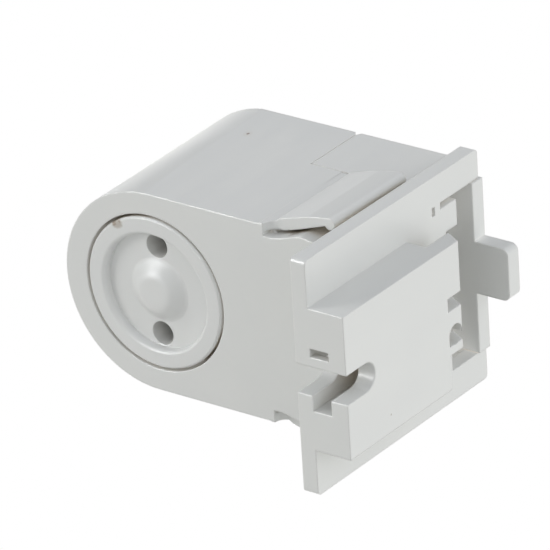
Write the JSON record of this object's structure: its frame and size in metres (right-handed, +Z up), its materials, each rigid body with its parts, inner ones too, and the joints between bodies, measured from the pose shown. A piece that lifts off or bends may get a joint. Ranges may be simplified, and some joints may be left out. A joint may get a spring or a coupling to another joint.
{
  "type": "lamp holder",
  "caption": "White moulded lamp holder for two-pin tube lamps, with a sprung round plunger, latch leaves and a mounting plate.",
  "frame": {"origin": "midway between the two pin holes, on the floor of the plunger's face", "axes": "+X from the plunger's axis to the mounting plate, +Y into the shell along the plunger's travel, +Z up along the line of the two pin holes"},
  "size_m": [0.0531, 0.0389, 0.0334],
  "materials": {
    "shell_plastic": "satin off-white, lightly soiled",
    "insert_plastic": "satin off-white, lightly soiled",
    "plunger_plastic": "satin off-white",
    "spring_steel": "plain spring steel",
    "contact_brass": "plain brass strip"
  },
  "bodies": {
    "holder": {"housing": "shell_plastic", "rear_insert": "insert_plastic", "upper_contact": "contact_brass", "lower_contact": "contact_brass", "upper_wire_clamp": "spring_steel", "lower_wire_clamp": "spring_steel"},
    "plunger": {"plunger": "plunger_plastic", "plunger_spring": "spring_steel"}
  },
  "joints": [
    {"name": "plunger_slide", "type": "slide", "parent": "holder", "child": "plunger", "axis": [0, 1, 0], "range_m": [0, 0.0045], "stiffness_N_per_m": 1500, "springref_m": -0.002, "deforming": ["plunger_spring"]}
  ]
}
